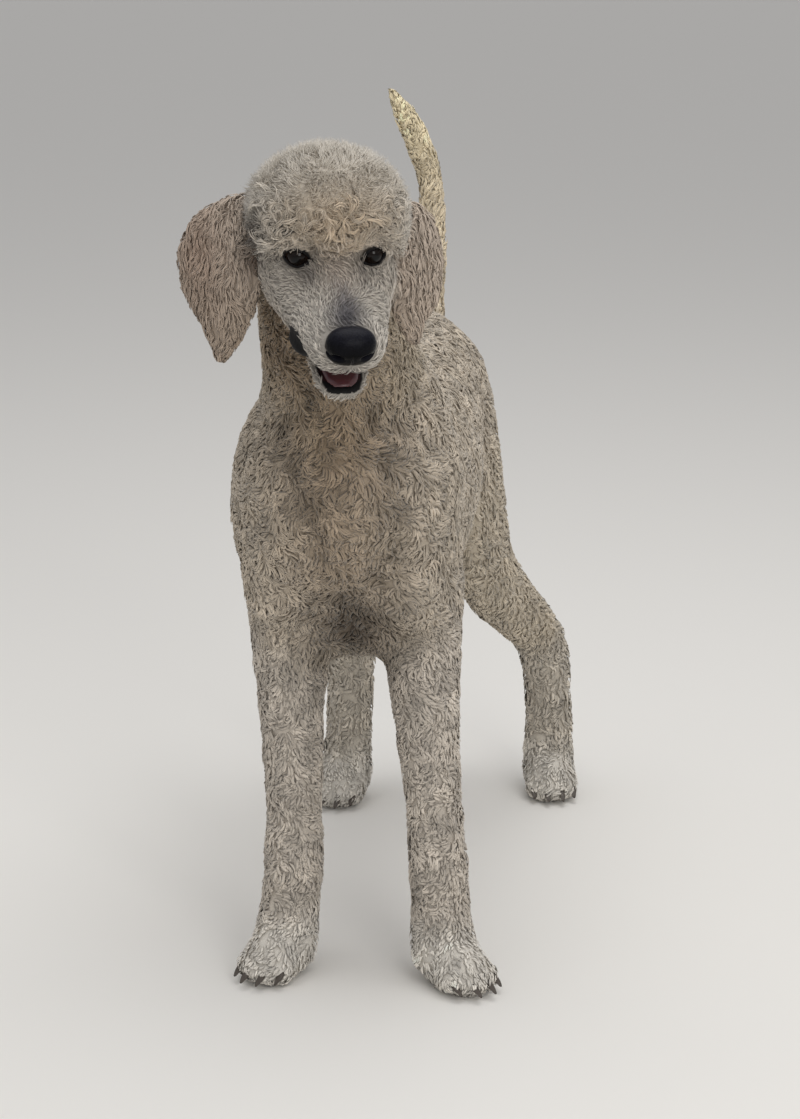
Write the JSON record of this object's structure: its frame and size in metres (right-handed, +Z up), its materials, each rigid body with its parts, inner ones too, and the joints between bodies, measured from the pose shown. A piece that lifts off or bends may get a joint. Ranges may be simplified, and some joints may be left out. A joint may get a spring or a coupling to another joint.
{
  "type": "standing standard poodle",
  "caption": "Life-size standing standard poodle in a short curly clip, head turned to its left, tail raised, as a still display model.",
  "frame": {"origin": "on the floor under the middle of the dog's box", "axes": "+Z up, -Y the way the dog's body faces, +X towards the dog's left side"},
  "size_m": [0.3157, 0.8979, 0.8248],
  "materials": {
    "curly_coat": "woolly curled hair",
    "ear_hair": "wavy hair",
    "short_face_hair": "short clipped hair",
    "topknot_hair": "brushed hair",
    "nose_leather": "moist grained",
    "dark_eye": "wet",
    "tongue": "wet"
  },
  "bodies": {
    "root": {"ear_left": "ear_hair", "ear_right": "ear_hair", "eye_left": "dark_eye", "eye_right": "dark_eye", "foreleg_left": "curly_coat", "foreleg_right": "curly_coat", "forepaw_left": "curly_coat", "forepaw_right": "curly_coat", "head": "short_face_hair", "hindpaw_left": "curly_coat", "hindpaw_right": "curly_coat", "hock_left": "curly_coat", "hock_right": "curly_coat", "lower_jaw": "short_face_hair", "neck": "curly_coat", "nose": "nose_leather", "tail": "curly_coat", "thigh_left": "curly_coat", "thigh_right": "curly_coat", "tongue": "tongue", "topknot": "topknot_hair", "trunk": "curly_coat"}
  },
  "joints": []
}
